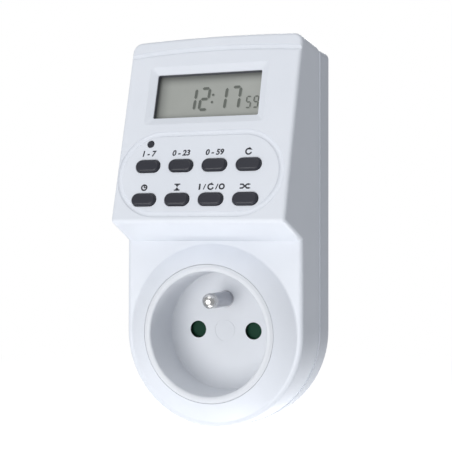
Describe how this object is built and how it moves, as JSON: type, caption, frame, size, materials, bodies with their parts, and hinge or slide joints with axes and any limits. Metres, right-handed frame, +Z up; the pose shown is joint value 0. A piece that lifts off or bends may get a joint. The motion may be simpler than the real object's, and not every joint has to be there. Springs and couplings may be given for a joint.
{
  "type": "plug-in digital timer switch",
  "caption": "Plug-in digital timer switch: a display and keys on a sloped panel above a round shuttered socket with earth pin; a round plug boss with pins stands on its back.",
  "frame": {"origin": "middle of the plug boss's end face, on the common axis of the plug and the socket", "axes": "+Y the way the plug pins point, -Y towards the user, +Z up towards the display, +X to the right of a person who looks at the panel"},
  "size_m": [0.061, 0.0749, 0.1234],
  "materials": {
    "housing": "fine satin grain, cool white",
    "cover": "fine satin grain, cool white",
    "cup": "satin, cool white",
    "shutter": "dark green moulding",
    "insulator": "natural moulding",
    "key": "dark slate grey, fine grain",
    "dark_plastic": "black moulding",
    "display": "grey green reflective display behind clear glass",
    "pin_metal": "nickel plated",
    "brass": "bare stamped strip",
    "steel": "zinc plated",
    "board": "green solder mask on glass laminate",
    "resin": "black moulding resin",
    "pale_rubber": "silicone",
    "dark_rubber": "layered silicone",
    "relay_case": "moulded case",
    "film_case": "moulded case",
    "can": "sleeved can",
    "resistor_body": "lacquered",
    "varistor_coat": "epoxy coat",
    "ribbon": "grey insulation",
    "brown_wire": "insulation",
    "black_wire": "insulation",
    "blue_wire": "insulation"
  },
  "bodies": {
    "case": {"backup_battery": "steel", "board_screws": "steel", "bridge_rectifier": "resin", "case_screws": "steel", "clock_crystal": "steel", "contact_carrier": "insulator", "control_board": "board", "controller_chip": "resin", "display_frame": "dark_plastic", "display_glass": "display", "earth_strip": "brass", "film_capacitor": "film_case", "front_housing": "housing", "keypad_sheet": "pale_rubber", "limiting_resistor": "resistor_body", "line_pin": "pin_metal", "line_wire": "brown_wire", "live_contact": "brass", "load_wire": "black_wire", "neutral_contact": "brass", "neutral_pin": "pin_metal", "neutral_wire": "blue_wire", "panel_screws": "steel", "pin_retainer": "insulator", "plug_earth_contact": "brass", "power_board": "board", "rear_cover": "cover", "relay": "relay_case", "ribbon_cable": "ribbon", "shutter_retainer": "insulator", "shutter_spring": "steel", "smoothing_capacitor": "can", "socket_cup": "cup", "socket_earth_pin": "pin_metal", "varistor": "varistor_coat", "zebra_strip": "dark_rubber"},
    "shutter": {"shutter": "shutter"},
    "key_clock": {"key_clock": "key"},
    "key_timer": {"key_timer": "key"},
    "key_output": {"key_output": "key"},
    "key_random": {"key_random": "key"},
    "key_week": {"key_week": "key"},
    "key_hour": {"key_hour": "key"},
    "key_minute": {"key_minute": "key"},
    "key_recall": {"key_recall": "key"},
    "reset_key": {"reset_key": "key"}
  },
  "joints": [
    {"name": "press_clock", "type": "slide", "parent": "case", "child": "key_clock", "axis": [0, 0.9608, -0.2773], "range_m": [0, 0.0008], "stiffness_N_per_m": 300, "springref_m": -0.001},
    {"name": "press_timer", "type": "slide", "parent": "case", "child": "key_timer", "axis": [0, 0.9608, -0.2773], "range_m": [0, 0.0008], "stiffness_N_per_m": 300, "springref_m": -0.001},
    {"name": "press_output", "type": "slide", "parent": "case", "child": "key_output", "axis": [0, 0.9608, -0.2773], "range_m": [0, 0.0008], "stiffness_N_per_m": 300, "springref_m": -0.001},
    {"name": "press_random", "type": "slide", "parent": "case", "child": "key_random", "axis": [0, 0.9608, -0.2773], "range_m": [0, 0.0008], "stiffness_N_per_m": 300, "springref_m": -0.001},
    {"name": "press_week", "type": "slide", "parent": "case", "child": "key_week", "axis": [0, 0.9608, -0.2773], "range_m": [0, 0.0008], "stiffness_N_per_m": 300, "springref_m": -0.001},
    {"name": "press_hour", "type": "slide", "parent": "case", "child": "key_hour", "axis": [0, 0.9608, -0.2773], "range_m": [0, 0.0008], "stiffness_N_per_m": 300, "springref_m": -0.001},
    {"name": "press_minute", "type": "slide", "parent": "case", "child": "key_minute", "axis": [0, 0.9608, -0.2773], "range_m": [0, 0.0008], "stiffness_N_per_m": 300, "springref_m": -0.001},
    {"name": "press_recall", "type": "slide", "parent": "case", "child": "key_recall", "axis": [0, 0.9608, -0.2773], "range_m": [0, 0.0008], "stiffness_N_per_m": 300, "springref_m": -0.001},
    {"name": "press_reset", "type": "slide", "parent": "case", "child": "reset_key", "axis": [0, 0.9608, -0.2773], "range_m": [0, 0.0008], "stiffness_N_per_m": 300, "springref_m": -0.001},
    {"name": "shutter_turn", "type": "hinge", "parent": "case", "child": "shutter", "pos_m": [0, -0.0276, 0], "axis": [0, 1, 0], "range_deg": [0, 45], "stiffness_Nm_per_rad": 0.02, "springref_deg": -17.19, "deforming": ["shutter_spring"]}
  ]
}
